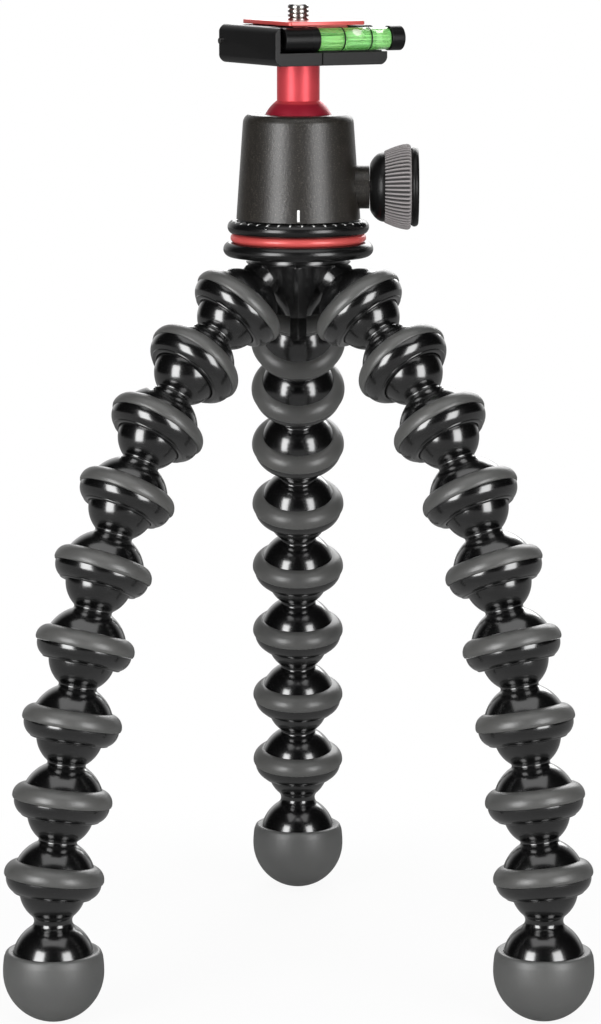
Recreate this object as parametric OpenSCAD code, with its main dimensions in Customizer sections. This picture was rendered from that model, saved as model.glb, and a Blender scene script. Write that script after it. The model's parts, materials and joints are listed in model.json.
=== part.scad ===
// Flexible leg stand: three legs of ball-and-socket links under a turning ball head.
// The origin is where the camera screw leaves the plate's top face.
// +Z is up and -Y is the front. Sizes are in millimetres.

// piece to draw, or all of them

/* [Leg link] */
// radius of the ball on top of each link
ball_r = 10; // [9:0.1:10.5]
// distance from a link's ball centre to its socket centre
link_pitch = 23.2; // [23:0.1:26]
// radius of the dome round each socket
dome_r = 12.5; // [12.3:0.1:12.8]
// height of the dome's centre over the socket centre
dome_up = 3; // [2.8:0.1:3.2]
// radius of the hollow between ball and dome
link_hollow = 0.8; // [0.6:0.1:1.2]
// radial play of a ball in its socket
socket_play = 0.15; // [0.1:0.05:0.2]
// gap between the pieces that are fitted together in one link
seat_play = 0.04; // [0.02:0.01:0.08]
// how far the collar's lip passes the ball's middle
lip_drop = 2; // [1.9:0.1:2.4]
// largest radius of the collar
collar_r = 14.3; // [14.1:0.1:14.4]
// rounding of the collar's outside
collar_round = 5; // [4.9:0.1:5.2]

/* [Grip ring] */
// outer radius of a rubber grip ring
ring_r = 15; // [14.5:0.1:16.5]
// height of a grip ring
ring_h = 5.2; // [5:0.1:5.4]
// height of the ring's underside over the socket centre
ring_lo = 2.8; // [2.7:0.1:3]
// rounding of the ring's outside
ring_round = 4; // [3.4:0.1:4]
// radius of the seat that the ring grips
ring_seat_r = 10.9; // [10.8:0.1:11]

/* [Foot] */
// distance from a foot's ball centre to its boot centre
foot_pitch = 25; // [24.6:0.1:25.4]
// radius of the hollow between a foot's ball and its dome
foot_hollow = 2.5; // [2:0.1:3]
// radius of the rubber boot
boot_r = 15.1; // [14.8:0.1:16]
// height of the boot's rim over its centre
boot_rim = 6.4; // [6:0.1:6.8]
// rounding of that rim
boot_lip = 1.1; // [0.8:0.1:1.2]
// depth of the flat under the boot
boot_flat = 0.45; // [0.2:0.05:1]

/* [Leg pose] */
// outward tilt of the crown's sockets
crown_tilt = 44; // [42:0.5:46]
// outward tilt of the first link
first_tilt = 48.5; // [44:0.5:50]
// outward tilt of the last link
last_tilt = 8.3; // [4:0.1:12]
// how quickly the legs straighten, 1 is even
bend_shape = 1.8; // [1.2:0.1:2.2]
// turn of the left and right legs towards the front
leg_turn = 13; // [0:1:15]

/* [Crown] */
// distance of the crown's socket centres from the axis
socket_r = 23.9; // [23:0.1:24.4]
// drop from the flange's underside to the socket centres
socket_drop = 17.5; // [16.8:0.1:18.2]
// radius of the crown's rim
crown_rim_r = 16; // [15:0.1:17]
// height of the cone under that rim
crown_rim_h = 4; // [3:0.1:5]
// radius of the core under the cone
crown_core_r = 12.5; // [11.5:0.1:13]
// radius of the neck under the flange
crown_neck_r = 14.4; // [13:0.1:14.8]
// height of that neck
crown_neck_h = 1.8; // [1:0.1:2.4]
// height of the three shields between the sockets
shield_h = 16.5; // [15:0.1:17.5]
// reach of a shield's ridge at its top
shield_r1 = 15.6; // [15:0.1:16]
// reach of a shield's ridge at its tip
shield_r2 = 7.4; // [6:0.1:9]
// half the width of a shield's tip
shield_tip = 2.3; // [1.6:0.1:3]
// rounding of a shield's sides
shield_round = 20; // [18:0.5:22]
// how far a shield's ridge stands out
shield_ridge = 0.9; // [0.5:0.1:1.5]
// radius of the arms from the rim to the domes
arm_r = 6; // [5:0.1:7]
// fall of those arms, in mm for each mm outwards
arm_fall = 0.2; // [0.1:0.05:0.3]
// length of the faceted spine under the rim
spine_len = 24; // [20:0.5:25]
// radius of that spine
spine_r = 2.9; // [2.7:0.1:3.2]

/* [Base] */
// radius of the black lower flange
flange_r = 22.9; // [21:0.1:24]
// height of that flange
flange_h = 4.2; // [3.5:0.1:5]
// radius of the red ring
accent_r = 20.7; // [19.5:0.1:21.5]
// height of the red ring
accent_h = 2.6; // [2:0.1:3.5]
// radius of the ring that carries the turning scale
scale_r = 21.6; // [20.5:0.1:22.5]
// height of that ring
scale_h = 4.1; // [3.5:0.1:5]
// marks round the scale
tick_count = 36; // [24:12:36]
// radius of the spigot that the housing turns on
spigot_r = 7; // [6.5:0.1:7.5]
// play between turning pieces
turn_play = 0.25; // [0.15:0.05:0.4]

/* [Ball housing] */
// radius of the housing at its rim
housing_top_r = 16.7; // [16:0.1:17.5]
// radius of the housing at its foot
housing_foot_r = 18.9; // [18:0.1:20]
// height of the housing
housing_h = 31.6; // [31:0.1:34]
// rounding of the rim
rim_round = 2.9; // [2.2:0.1:3.2]
// radius of the ball in the housing
head_ball_r = 11.1; // [10.5:0.1:11.3]
// how far the ball's centre lies under the rim
ball_under_rim = 4.8; // [4.4:0.1:5.4]
// radius of the stem on the ball
stem_r = 6.5; // [5.5:0.1:6.8]
// distance from the ball centre up to the clamp's underside
stem_reach = 20.2; // [20:0.1:22]

/* [Lock knob] */
// place of the knob's axis between the housing's foot and the ball's underside
knob_share = 0.61; // [0.6:0.005:0.62]
// radius of the boss that carries the knob
boss_r = 6.6; // [6:0.1:7.5]
// distance of the boss's end from the housing's axis
boss_end = 21.6; // [21:0.1:23]
// length of the knob's bell
bell_len = 4.2; // [3.5:0.1:5]
// length of the knob's ribbed band
band_len = 8; // [6:0.1:9]
// length of the knob's cap
cap_len = 2.3; // [1.8:0.1:3]
// radius of the band at its inner end
band_r1 = 10.9; // [10.8:0.1:11.5]
// radius of the band at its outer end
band_r2 = 13.1; // [12:0.1:13.5]
// ribs round the band
rib_count = 60; // [40:2:72]
// depth of the ribs
rib_depth = 0.45; // [0.3:0.05:0.6]
// radius of the lock screw
lock_screw_r = 2; // [1.6:0.1:2.2]

/* [Clamp] */
// turn of the clamp about the stem
clamp_turn = 28; // [0:1:45]
// reach of the clamp to the left of the stem
clamp_left = 17.5; // [17:0.1:18.5]
// reach of the clamp to the right of the stem
clamp_right = 20.5; // [20:0.1:22]
// depth of the clamp along the plate's slide
clamp_depth = 37; // [36:0.5:39]
// height of the clamp
clamp_h = 11.5; // [11.3:0.1:13]
// height of the plate's top over the clamp's
plate_rise = 1.5; // [1.5:0.1:1.9]
// rounding of the clamp's long edges
clamp_round = 2.7; // [1.5:0.1:3]
// place of the split between the fixed half and the jaw
split_x = -1.7; // [-3:0.1:-1.5]
// gap between the two halves
split_gap = 0.3; // [0.2:0.05:0.6]
// play of the sliding fits
slide_play = 0.15; // [0.1:0.05:0.25]

/* [Plate] */
// width of the plate's top
plate_w = 26; // [25:0.5:28]
// depth of the plate's top
plate_d = 31; // [30:0.5:32]
// thickness of the plate's top
plate_t = 1.2; // [1:0.05:1.2]
// middle of the plate to the right of the screw
plate_off = 1.5; // [0.5:0.1:2]
// width of the dovetail at its top
tail_top = 18.5; // [17.5:0.1:19]
// width of the dovetail at its foot
tail_foot = 22.5; // [22:0.1:23]
// depth of the dovetail
tail_h = 3.8; // [3.6:0.1:3.8]

/* [Camera screw] */
// length of the screw over the plate
screw_len = 4.8; // [4.5:0.1:5.5]

/* [Level] */
// radius of the level's barrel
vial_r = 3.6; // [3.3:0.1:3.7]
// left end of the level, measured from the stem
vial_left = -14; // [-15:0.1:-13]
// right end of the level, measured from the stem
vial_right = 26.5; // [25:0.1:28]
// radius of the clear tube
tube_r = 3.4; // [3.1:0.1:3.45]
// distance of the two marks from the tube's middle
mark_gap = 4.6; // [4:0.1:6]

/* [Hidden] */
$fn = 64;
eps = 0.01;
legs = [210, 330, 90];
// screw of the crown, and how deep it goes in
bolt_r = 2.5;
bolt_depth = 9;
// links in each leg, the foot not counted
link_count = 8;
// quarter inch camera thread, 20 turns to the inch
screw_r = 3.175;
screw_pitch = 1.27;
jet = [0.08, 0.08, 0.085];
satin = [0.2, 0.2, 0.2];
rubber = [0.4, 0.39, 0.37];
red = [0.78, 0.17, 0.2];
steel = [0.75, 0.75, 0.77];
nylon = [0.88, 0.87, 0.82];
cup_r = ball_r + socket_play;
ring_hi = ring_lo + ring_h;
leg_way = [leg_turn, -leg_turn, 0];
clamp_top = -plate_rise;
clamp_foot = clamp_top - clamp_h;
ball_z = clamp_foot - stem_reach;
rim_z = ball_z + ball_under_rim;
housing_z = rim_z - housing_h;
scale_z = housing_z - 0.5;
accent_z = scale_z - scale_h;
flange_z = accent_z - accent_h;
crown_z = flange_z - flange_h;
socket_z = crown_z - socket_drop;
room_h = ball_z - head_ball_r - housing_z;
knob_z = housing_z + knob_share * room_h;
wedge_lo = 0.172 * room_h;
wedge_hi = 0.274 * room_h;
bell_x = boss_end + 0.4;
band_x = bell_x + bell_len;
cap_x = band_x + band_len;
bore_r = head_ball_r + 0.2;
plug_r = bore_r + 1.9;
clip_room = 2;
spigot_z = knob_z - wedge_lo - 0.3;
plug_z = spigot_z - clip_room;
cup_z = knob_z + lock_screw_r + 0.8;
slot_z = -plate_t - tail_h - 0.2;
vial_y = -clamp_depth / 2 + 3;
vial_z = -5.3;
tongue_z = clamp_foot + 4.8;

// Outward tilt of the crown's socket (0), of a link (1 to 8) and of the foot (9).
function tilt(i) =
  i < 1 ? crown_tilt :
  i > link_count ? 0 :
  last_tilt + (first_tilt - last_tilt) * pow((link_count - i) / (link_count - 1), bend_shape);
// Distance from the axis and height of a leg's ball centres, 1 is the crown's.
function joint_r(i) = i <= 1 ? socket_r : joint_r(i - 1) + link_pitch * sin(tilt(i - 1));
function joint_z(i) = i <= 1 ? socket_z : joint_z(i - 1) - link_pitch * cos(tilt(i - 1));

// Puts a piece drawn hanging from a ball centre at its place in a leg.
module at_joint(leg, i) {
  rotate([0, 0, legs[leg]])
    translate([socket_r, 0, 0])
      rotate([0, 0, leg_way[leg]])
        translate([joint_r(i) - socket_r, 0, joint_z(i)])
          rotate([0, -tilt(i), 0])
            children();
}

// Puts a piece drawn round a socket centre at one of the crown's sockets.
module at_crown(leg) {
  rotate([0, 0, legs[leg]])
    translate([socket_r, 0, socket_z])
      rotate([0, -crown_tilt, 0])
        children();
}

// Keeps the half of a profile that turns.
module half() {
  intersection() {
    children();
    translate([0, -400])
      square([60, 800]);
  }
}

// Profile of a band from r_in to r_out with a rounded outside.
module band(r_in, r_out, z0, z1) {
  h = z1 - z0;
  c = h / 2 + 0.1;
  translate([0, z0])
    intersection() {
      translate([r_in, 0])
        square([r_out - r_in + 1, h]);
      union() {
        translate([r_in - 1, -1])
          square([r_out - c - r_in + 1, h + 2]);
        translate([r_out - c, h / 2])
          circle(r = c);
      }
    }
}

// Rectangle with rounded corners.
module soft_rect(x0, y0, x1, y1, r) {
  intersection() {
    translate([x0, y0])
      square([x1 - x0, y1 - y0]);
    union() {
      translate([x0 + r, y0 - 1])
        square([x1 - x0 - 2 * r, y1 - y0 + 2]);
      translate([x0 - 1, y0 + r])
        square([x1 - x0 + 2, y1 - y0 - 2 * r]);
      for (x = [x0 + r, x1 - r], y = [y0 + r, y1 - r])
        translate([x, y])
          circle(r = r + 0.1);
    }
  }
}

// Ball that hangs from a joint, with a hollow neck to a dome centred drop below it.
module stud_profile(drop, hollow) {
  b = ball_r + hollow;
  d = dome_r + hollow;
  z = (b * b - d * d + drop * drop) / (2 * drop);
  x = sqrt(b * b - z * z);
  circle(r = ball_r);
  difference() {
    polygon([[0, -z * ball_r / b], [x * ball_r / b, -z * ball_r / b],
             [x * dome_r / d, (drop - z) * dome_r / d - drop], [0, (drop - z) * dome_r / d - drop]]);
    translate([x, -z])
      circle(r = hollow);
  }
}

// Dome over a socket with the seat of its grip ring, before the cup is cut.
module dome_profile() {
  intersection() {
    translate([0, dome_up])
      circle(r = dome_r);
    translate([-20, ring_hi])
      square([40, 20]);
  }
  translate([-ring_seat_r, ring_lo])
    square([2 * ring_seat_r, ring_h + 0.2]);
}

// Collar that closes a socket under its grip ring and keeps the ball in.
module collar_profile() {
  difference() {
    intersection() {
      translate([collar_r - collar_round, ring_lo])
        circle(r = collar_round);
      translate([ball_r - 1, -lip_drop])
        square([6, ring_lo - seat_play + lip_drop]);
    }
    circle(r = cup_r);
  }
}

module collar() {
  color(jet)
    rotate_extrude()
      collar_profile();
}

module grip_ring() {
  color(rubber)
    rotate_extrude()
      intersection() {
        translate([ring_seat_r + seat_play, ring_lo + seat_play])
          square([ring_r, ring_h - 2 * seat_play]);
        union() {
          translate([ring_r - ring_round, ring_hi - ring_round])
            circle(r = ring_round);
          square([ring_r - ring_round, ring_hi]);
        }
      }
}

// One link: ball, neck and dome in one moulding, its collar and its grip ring.
module leg_link(leg, i) {
  at_joint(leg, i) {
    color(jet)
      rotate_extrude()
        half()
          difference() {
            union() {
              stud_profile(link_pitch - dome_up, link_hollow);
              translate([0, -link_pitch])
                dome_profile();
            }
            translate([0, -link_pitch])
              circle(r = cup_r);
          }
    translate([0, 0, -link_pitch]) {
      collar();
      grip_ring();
    }
  }
}

// Core of a foot, which the boot is pulled over.
module core_profile(play) {
  intersection() {
    translate([0, dome_up])
      circle(r = dome_r + play);
    translate([-20, dome_up - dome_r + 0.5 - play])
      square([40, 40]);
  }
}

// Outside of a boot: round below its middle, steeper above and rounded at the rim.
module boot_profile() {
  side = sqrt(4 * boot_r * boot_r - boot_rim * boot_rim) - boot_r - boot_lip;
  intersection() {
    circle(r = boot_r);
    translate([-20, boot_flat - boot_r])
      square([40, boot_r - boot_flat + eps]);
  }
  intersection() {
    translate([-boot_r, 0])
      circle(r = 2 * boot_r);
    union() {
      square([20, boot_rim - boot_lip]);
      square([side, boot_rim]);
      translate([side, boot_rim - boot_lip])
        circle(r = boot_lip);
    }
    square([20, boot_rim]);
  }
}

module foot(leg) {
  at_joint(leg, link_count + 1) {
    color(jet)
      rotate_extrude()
        half() {
          stud_profile(foot_pitch - dome_up, foot_hollow);
          translate([0, -foot_pitch])
            core_profile(0);
        }
    color(rubber)
      translate([0, 0, -foot_pitch])
        rotate_extrude()
          half()
            difference() {
              boot_profile();
              core_profile(seat_play);
            }
  }
}

// Room for a ball, its collar and its grip ring in the crown.
module socket_room() {
  sphere(r = cup_r);
  translate([0, 0, ring_lo - ring_r])
    cylinder(r = ring_r + 0.4, h = ring_r);
  rotate_extrude()
    translate([ring_seat_r, ring_lo - eps])
      square([ring_r + 0.4 - ring_seat_r, ring_h + eps]);
}

// Front of a shield as seen from its own side: wide on top, hollow sides, narrow tip.
module shield_profile(top) {
  tip = top - shield_h;
  difference() {
    translate([-shield_r1, tip])
      square([2 * shield_r1, shield_h - 0.5]);
    for (s = [-1, 1])
      translate([s * (shield_tip + shield_round), tip - crown_neck_h])
        circle(r = shield_round);
  }
}

// Three-lobed moulding under the head: rim, ridged shields, faceted spine and three domes.
module crown() {
  rim_top = crown_z - crown_neck_h;
  tip = rim_top - shield_h;
  bolt_z = rim_top - bolt_depth;
  color(jet)
    difference() {
      union() {
        translate([0, 0, rim_top - eps])
          cylinder(r = crown_neck_r, h = crown_neck_h + eps);
        translate([0, 0, rim_top - crown_rim_h])
          cylinder(r1 = crown_core_r, r2 = crown_rim_r, h = crown_rim_h);
        translate([0, 0, tip])
          cylinder(r1 = spine_r + 1, r2 = crown_core_r, h = shield_h - crown_rim_h + eps);
        for (k = [0:2])
          rotate([0, 0, 120 * k])
            intersection() {
              translate([0, 0, tip]) {
                cylinder(r1 = shield_r2, r2 = shield_r1, h = shield_h);
                rotate([0, 0, 30])
                  cylinder(r1 = shield_r2 + shield_ridge, r2 = shield_r1 + shield_ridge,
                           h = shield_h, $fn = 6);
              }
              along_y(-shield_r1 - 4, -spine_r / 2)
                shield_profile(rim_top);
            }
        translate([0, 0, rim_top - spine_len])
          rotate([0, 0, 30])
            cylinder(r = spine_r, h = spine_len, $fn = 6);
        for (leg = [0:2])
          at_crown(leg)
            translate([0, 0, dome_up])
              sphere(r = dome_r);
        for (leg = [0:2])
          intersection() {
            at_crown(leg)
              translate([0, 0, ring_hi])
                cylinder(r = arm_r, h = socket_r);
            translate([0, 0, rim_top - dome_r - 0.2])
              cylinder(r1 = crown_neck_r + dome_r / arm_fall, r2 = crown_neck_r, h = dome_r);
          }
      }
      for (leg = [0:2])
        at_crown(leg)
          socket_room();
      translate([0, 0, bolt_z])
        cylinder(r = bolt_r, h = bolt_depth + crown_neck_h + 1);
    }
}

module crown_collars() {
  for (leg = [0:2])
    at_crown(leg)
      collar();
}

module crown_grip_rings() {
  for (leg = [0:2])
    at_crown(leg)
      grip_ring();
}

// Screw that holds the head on the crown, reached from inside the spigot.
module crown_bolt() {
  head_z = spigot_z - 4.5;
  color(steel)
    difference() {
      union() {
        translate([0, 0, crown_z - crown_neck_h - bolt_depth])
          cylinder(r = bolt_r, h = head_z - crown_z + crown_neck_h + bolt_depth + eps);
        translate([0, 0, head_z])
          cylinder(r = 4.1, h = 3);
      }
      translate([0, 0, head_z + 1])
        cylinder(r = 2, h = 3, $fn = 6);
    }
}

// Lower flange with the spigot that the red ring, the scale ring and the housing sit on.
module base_flange() {
  color(jet)
    rotate_extrude()
      difference() {
        union() {
          band(2.5, flange_r, crown_z, flange_z);
          translate([2.5, flange_z - 0.5])
            square([6.5, scale_z - flange_z + 0.5]);
          translate([2.5, scale_z - 0.5])
            square([spigot_r - 2.5, spigot_z - scale_z + 0.5]);
        }
        translate([0, spigot_z - 4.5])
          square([4.3, 10]);
        translate([spigot_r - 1, spigot_z - 1.7])
          square([2, 1]);
      }
}

module accent_ring() {
  color(red)
    rotate_extrude()
      band(9, accent_r, flange_z, accent_z);
}

// Ring with the turning scale cut into its top.
module scale_ring() {
  color(jet)
    difference() {
      rotate_extrude()
        band(9, scale_r, accent_z, scale_z);
      for (k = [0:tick_count - 1])
        rotate([0, 0, k * 360 / tick_count + 63])
          translate([housing_foot_r + 0.1, -0.18, scale_z - 0.35])
            cube([k % (tick_count / 4) == 0 ? 1.6 : 0.6, 0.36, 1]);
    }
}

module slip_washer() {
  color(nylon)
    translate([0, 0, scale_z])
      difference() {
        cylinder(r = 12.5, h = 0.3);
        translate([0, 0, -1])
          cylinder(r = spigot_r + turn_play, h = 3);
      }
}

// Spring clip in the spigot's groove, which keeps the housing down.
module pan_clip() {
  color(steel)
    translate([0, 0, spigot_z - 1.7])
      difference() {
        cylinder(r = spigot_r + 2, h = 1);
        translate([0, 0, -1])
          cylinder(r = spigot_r - 1, h = 3);
        translate([-1.5, -20, -1])
          cube([3, 20, 3]);
      }
}

// Puts a piece drawn along +Z on the lock knob's axis, pointing out along +X.
module at_knob() {
  translate([0, 0, knob_z])
    rotate([0, 90, 0])
      children();
}

// Tapered housing with the ball's seat, the drop notch at the back and the lock boss.
module ball_housing() {
  color(satin)
    difference() {
      union() {
        rotate_extrude()
          intersection() {
            polygon([[0, rim_z], [housing_top_r, rim_z], [housing_foot_r, housing_z],
                     [0, housing_z]]);
            union() {
              translate([0, rim_z - 20])
                square([housing_top_r - rim_round + 0.15, 30]);
              translate([0, rim_z - housing_h - 1])
                square([30, housing_h + 1 - rim_round + 0.3]);
              translate([housing_top_r - rim_round + 0.15, rim_z - rim_round + 0.3])
                circle(r = rim_round);
            }
          }
        at_knob()
          translate([0, 0, 14])
            cylinder(r = boss_r, h = boss_end - 14);
      }
      translate([0, 0, ball_z])
        sphere(r = bore_r);
      translate([0, 0, housing_z - 1])
        cylinder(r = bore_r, h = ball_z - housing_z + 1);
      translate([0, 0, housing_z - 1])
        cylinder(r = plug_r, h = plug_z - housing_z + 1);
      translate([0, 0, ball_z])
        rotate([-90, 0, 0])
          cylinder(r = stem_r + 0.3, h = 30);
      translate([-stem_r - 0.3, 0, ball_z])
        cube([2 * stem_r + 0.6, 30, 20]);
      at_knob()
        cylinder(r = lock_screw_r + turn_play, h = 30);
      at_knob()
        translate([0, 0, 13.6])
          cylinder(r = 4, h = 20);
      translate([-0.4, -housing_foot_r - 1, housing_z + 0.4])
        cube([0.8, 1.6, 3.6]);
    }
}

// Plug that closes the housing from below and turns on the spigot.
module housing_plug() {
  color(steel)
    translate([0, 0, housing_z])
      difference() {
        cylinder(r = plug_r, h = plug_z - housing_z);
        translate([0, 0, -1])
          cylinder(r = spigot_r + turn_play, h = 8);
      }
}

// Sloped top of the lock wedge, as a profile in x and z from its left to its right end.
function wedge_top(x) = knob_z + wedge_hi - (x + 3.6) * 1.6 / 12.4;

// Seat under the ball, with a sloped channel on its underside for the wedge.
module ball_cup() {
  color(nylon)
    difference() {
      translate([0, 0, cup_z])
        cylinder(r = bore_r - 0.02, h = ball_z - stem_r - 0.4 - cup_z);
      translate([0, 0, ball_z])
        sphere(r = head_ball_r + 0.12);
      along_y(-3.9, 3.9)
        polygon([[-5.7, ball_z - 20], [-5.7, wedge_top(-5.7) + 0.15],
                 [14, wedge_top(14) + 0.15], [14, ball_z - 20]]);
    }
}

// Sleeve that keeps the lock screw's collar in the boss.
module knob_bush() {
  color([0.72, 0.56, 0.3])
    at_knob()
      translate([0, 0, 15.6])
        difference() {
          cylinder(r = 4, h = boss_end - 15.6);
          translate([0, 0, -1])
            cylinder(r = lock_screw_r + 0.15, h = 20);
        }
}

module lock_screw() {
  color(steel)
    at_knob() {
      cylinder(r = lock_screw_r, h = cap_x);
      translate([0, 0, 13.9])
        cylinder(r = 3.7, h = 1.4);
    }
}

// Wedge that the lock screw draws towards the knob to lift the cup.
module lock_wedge() {
  color([0.72, 0.56, 0.3])
    difference() {
      along_y(-3.6, 3.6)
        polygon([[-3.6, knob_z - wedge_lo], [8.8, knob_z - wedge_lo], [8.8, wedge_top(8.8)],
                 [-3.6, wedge_top(-3.6)]]);
      at_knob()
        translate([0, 0, -3])
          cylinder(r = lock_screw_r + 0.12, h = 20);
    }
}

// Bell and drum of the lock knob.
module knob_core() {
  color(jet)
    at_knob()
      difference() {
        rotate_extrude()
          polygon([[0, bell_x], [6.9, bell_x], [7.9, bell_x + 0.7], [band_r1 - 0.2, band_x - 0.4],
                   [band_r1 - 0.2, band_x], [9.6, band_x], [9.6, cap_x], [0, cap_x]]);
        cylinder(r = lock_screw_r, h = cap_x + 1);
      }
}

// Ribbed rubber band on the knob, wider towards its outer end.
module knob_grip() {
  step = 360 / rib_count;
  color(rubber)
    at_knob()
      difference() {
        translate([0, 0, band_x])
          linear_extrude(height = band_len, scale = band_r2 / band_r1)
            polygon([for (k = [0:rib_count - 1], s = [0:3])
              let (a = (k + [0, 0.3, 0.5, 0.8][s]) * step, r = band_r1 - (s < 2 ? 0 : rib_depth))
              [r * cos(a), r * sin(a)]]);
        translate([0, 0, band_x - 1])
          cylinder(r = 9.6, h = band_len + 2);
      }
}

module knob_cap() {
  color(jet)
    at_knob()
      rotate_extrude()
        difference() {
          band(0, band_r2 - 1, cap_x, cap_x + cap_len);
          translate([0, cap_x + cap_len - 0.5])
            square([8.6, 2]);
        }
}

module head_ball() {
  color(red)
    rotate_extrude()
      half()
        difference() {
          union() {
            translate([0, ball_z])
              circle(r = head_ball_r);
            translate([0, ball_z])
              square([stem_r, stem_reach - 0.2]);
          }
          translate([0, clamp_foot - 12])
            square([2.7, 20]);
        }
}

// Turns a piece drawn square to the plate to the clamp's place.
module at_clamp() {
  rotate([0, 0, clamp_turn])
    children();
}

// Runs a profile drawn in x and z along y.
module along_y(y0, y1) {
  translate([0, y1, 0])
    rotate([90, 0, 0])
      linear_extrude(height = y1 - y0)
        children();
}

// Puts a piece drawn along +Z on a line that runs along x.
module along_x(y, z) {
  translate([0, y, z])
    rotate([0, 90, 0])
      children();
}

module clamp_block() {
  along_y(-clamp_depth / 2, clamp_depth / 2)
    soft_rect(-clamp_left, clamp_foot, clamp_right, clamp_top, clamp_round);
}

// Room for the plate's dovetail and for the level along the front edge.
module clamp_room() {
  along_y(-30, 30)
    polygon([[plate_off - tail_top / 2 - slide_play, clamp_top + 1],
             [plate_off - tail_top / 2 - slide_play, clamp_top],
             [plate_off - tail_foot / 2 - slide_play, slot_z],
             [plate_off + tail_foot / 2 + slide_play, slot_z],
             [plate_off + tail_top / 2 + slide_play, clamp_top],
             [plate_off + tail_top / 2 + slide_play, clamp_top + 1]]);
  translate([-clamp_left + 1.7, -40, vial_z - vial_r - 0.2])
    cube([60, 40 + vial_y + 3.9, 20]);
}

// Bores for the two guide pins and the clamp screw.
module clamp_bores(play, left) {
  along_x(clamp_depth / 2 - 1.7, -6.5)
    translate([0, 0, -30])
      cylinder(r = 0.9 + play, h = 60);
  along_x(vial_y + 5.7, -6.6)
    translate([0, 0, left])
      cylinder(r = 0.9 + play, h = 60);
  along_x(clamp_depth / 2 - 6, -7.7)
    translate([0, 0, left - 2])
      cylinder(r = 2.05, h = 60);
}

// Fixed half of the clamp: left jaw, floor and the tongue that the other half slides on.
module clamp_body() {
  color(jet)
    at_clamp()
      difference() {
        union() {
          intersection() {
            clamp_block();
            translate([-40, -40, -40])
              cube([40 + split_x, 80, 80]);
          }
          translate([split_x - 1, -9, clamp_foot])
            cube([18.5, 18, tongue_z - clamp_foot]);
        }
        clamp_room();
        clamp_bores(0, -12);
        translate([0, 0, clamp_foot - 1])
          cylinder(r = 2.5, h = 9);
        translate([0, 0, tongue_z - 2.6])
          cylinder(r = 4.2, h = 5);
      }
}

module clamp_bolt() {
  color(steel)
    difference() {
      union() {
        translate([0, 0, clamp_foot - 11])
          cylinder(r = 2.5, h = 11 + tongue_z - clamp_foot - 2.6 + eps);
        translate([0, 0, tongue_z - 2.6])
          cylinder(r = 4, h = 2.4);
      }
      translate([0, 0, tongue_z - 1.6])
        cylinder(r = 2.2, h = 3, $fn = 6);
    }
}

// Two dowels fixed in the left half, which the jaw slides on.
module guide_pins() {
  color(steel)
    at_clamp() {
      along_x(clamp_depth / 2 - 1.7, -6.5)
        translate([0, 0, -clamp_left - 0.8])
          cylinder(r = 0.9, h = clamp_left + 14);
      along_x(vial_y + 5.7, -6.6)
        translate([0, 0, -12])
          cylinder(r = 0.9, h = 26);
    }
}

// Sliding half of the clamp, which carries the level.
module clamp_jaw() {
  color(jet)
    at_clamp()
      difference() {
        intersection() {
          clamp_block();
          translate([split_x + split_gap, -40, -40])
            cube([80, 80, 80]);
        }
        clamp_room();
        clamp_bores(slide_play, -12);
        translate([-10, -9.2, clamp_foot - 1])
          cube([26.4, 18.4, tongue_z - clamp_foot + 1.2]);
      }
}

// Black barrel of the level with the cradle that the tube lies in.
module vial_holder() {
  color(jet)
    at_clamp()
      difference() {
        union() {
          along_x(vial_y, vial_z)
            translate([0, 0, vial_left])
              cylinder(r = vial_r, h = -2.8 - vial_left);
          along_x(vial_y, vial_z)
            translate([0, 0, -4.6])
              cylinder(r = vial_r + 0.12, h = 2.2);
          translate([-1.2, vial_y + 2, vial_z - vial_r - 0.2])
            cube([21, 1.9, 6]);
          translate([-1.2, vial_y - 0.8, vial_z - vial_r - 0.2])
            cube([21, 4.7, 0.9]);
          translate([-4.6, vial_y + 2, vial_z - 2.4])
            cube([5, 1.55, 4]);
        }
        along_x(vial_y, vial_z)
          translate([0, 0, -6])
            cylinder(r = tube_r, h = 40);
        along_x(vial_y, vial_z)
          translate([0, 0, -2.4])
            cylinder(r = tube_r + 0.12, h = 40);
        along_x(vial_y, vial_z)
          translate([0, 0, vial_left - 1])
            cylinder(r = 2.7, h = 2.2);
      }
}

module vial_tube() {
  color([0.85, 0.95, 0.8])
    at_clamp()
      along_x(vial_y, vial_z)
        difference() {
          translate([0, 0, -6])
            cylinder(r = tube_r, h = vial_right - 3 + 6);
          translate([0, 0, -4.5])
            cylinder(r = tube_r - 0.7, h = vial_right - 4.5 + 4.5);
        }
}

// Air bubble, lying against the top of the tube between the marks.
module bubble_shape() {
  middle = (vial_right - 4.5 - 1) / 2;
  translate([0, 0, 1.1])
    along_x(vial_y, vial_z) {
      translate([0, 0, middle - 1.8])
        sphere(r = 1.3);
      translate([0, 0, middle - 1.8])
        cylinder(r = 1.3, h = 3.6);
      translate([0, 0, middle + 1.8])
        sphere(r = 1.3);
    }
}

module vial_fluid() {
  color([0.45, 0.8, 0.3])
    at_clamp()
      difference() {
        along_x(vial_y, vial_z)
          translate([0, 0, -4.5])
            cylinder(r = tube_r - 0.7, h = vial_right - 4.5 + 4.5);
        bubble_shape();
      }
}

module vial_bubble() {
  color([0.95, 1, 0.9])
    at_clamp()
      bubble_shape();
}

module vial_rings() {
  middle = (vial_right - 4.5 - 1) / 2;
  color(jet)
    at_clamp()
      along_x(vial_y, vial_z)
        for (s = [-1, 1])
          translate([0, 0, middle + s * mark_gap - 0.22])
            difference() {
              cylinder(r = tube_r + 0.1, h = 0.44);
              translate([0, 0, -1])
                cylinder(r = tube_r, h = 3);
            }
}

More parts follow.
